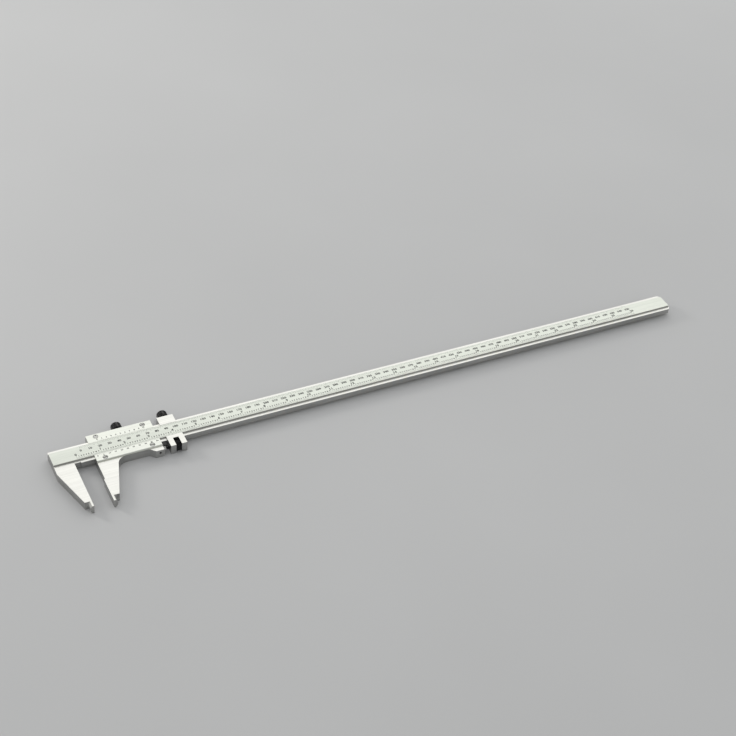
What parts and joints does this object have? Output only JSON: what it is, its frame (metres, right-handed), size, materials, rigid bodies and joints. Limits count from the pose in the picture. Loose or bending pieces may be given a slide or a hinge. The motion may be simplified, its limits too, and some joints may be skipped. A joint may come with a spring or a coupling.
{
  "type": "vernier caliper",
  "caption": "Long vernier caliper with nib jaws, a sliding jaw with inch and metric verniers, and a fine-adjustment clamp with a knurled nut.",
  "frame": {"origin": "middle of the outline's length and width, on the flat back that the caliper lies on", "axes": "+X along the beam, away from the fixed jaw; the jaws point towards -Y; +Z out of the scale face"},
  "size_m": [0.732, 0.105, 0.0112],
  "materials": {
    "satin_steel": "satin chrome plated, finely ground",
    "scale_plate": "matt satin chrome with black engraved marks",
    "bright_screw": "turned bright steel",
    "blackened_steel": "black oxide, knurled",
    "gib_brass": "satin"
  },
  "bodies": {
    "beam": {"main_beam": "satin_steel", "end_stop_screw": "blackened_steel"},
    "slider": {"slider_frame": "satin_steel", "metric_vernier_plate": "scale_plate", "inch_vernier_plate": "scale_plate", "metric_plate_screws": "bright_screw", "inch_plate_screws": "bright_screw", "slider_gib": "gib_brass", "slider_gib_screws": "blackened_steel", "feed_screw": "blackened_steel", "feed_screw_anchor": "blackened_steel", "feed_lock_nut": "bright_screw"},
    "slider_lock_pad": {"slider_lock_pad": "gib_brass"},
    "slider_lock_screw": {"slider_lock_stud": "bright_screw", "slider_lock_knob": "blackened_steel"},
    "clamp": {"clamp_frame": "satin_steel", "clamp_gib": "gib_brass"},
    "clamp_lock_pad": {"clamp_lock_pad": "gib_brass"},
    "clamp_lock_screw": {"clamp_lock_stud": "bright_screw", "clamp_lock_knob": "blackened_steel"},
    "adjusting_nut": {"adjusting_nut": "blackened_steel"}
  },
  "joints": [
    {"name": "slider_slide", "type": "slide", "parent": "beam", "child": "slider", "axis": [1, 0, 0], "range_m": [-0.02, 0.58]},
    {"name": "clamp_feed", "type": "slide", "parent": "slider", "child": "clamp", "axis": [1, 0, 0], "range_m": [-0.004, 0.004]},
    {"name": "nut_turn", "type": "hinge", "parent": "clamp", "child": "adjusting_nut", "pos_m": [-0.2403, 0.00195, 0.0056], "axis": [1, 0, 0], "range_deg": [-2880, 2880]},
    {"name": "slider_lock_travel", "type": "slide", "parent": "slider", "child": "slider_lock_pad", "axis": [0, 1, 0], "range_m": [0, 0.0014]},
    {"name": "slider_lock_turn", "type": "hinge", "parent": "slider_lock_pad", "child": "slider_lock_screw", "pos_m": [-0.2897, 0.0475, 0.0056], "axis": [0, 1, 0], "range_deg": [0, 720]},
    {"name": "clamp_lock_travel", "type": "slide", "parent": "clamp", "child": "clamp_lock_pad", "axis": [0, 1, 0], "range_m": [0, 0.0014]},
    {"name": "clamp_lock_turn", "type": "hinge", "parent": "clamp_lock_pad", "child": "clamp_lock_screw", "pos_m": [-0.24025, 0.0475, 0.0056], "axis": [0, 1, 0], "range_deg": [0, 720]}
  ],
  "couplings": [
    {"joint": "nut_turn", "follows": "clamp_feed", "rad_per_m": 12566},
    {"joint": "slider_lock_turn", "follows": "slider_lock_travel", "rad_per_m": 8976},
    {"joint": "clamp_lock_turn", "follows": "clamp_lock_travel", "rad_per_m": 8976}
  ]
}
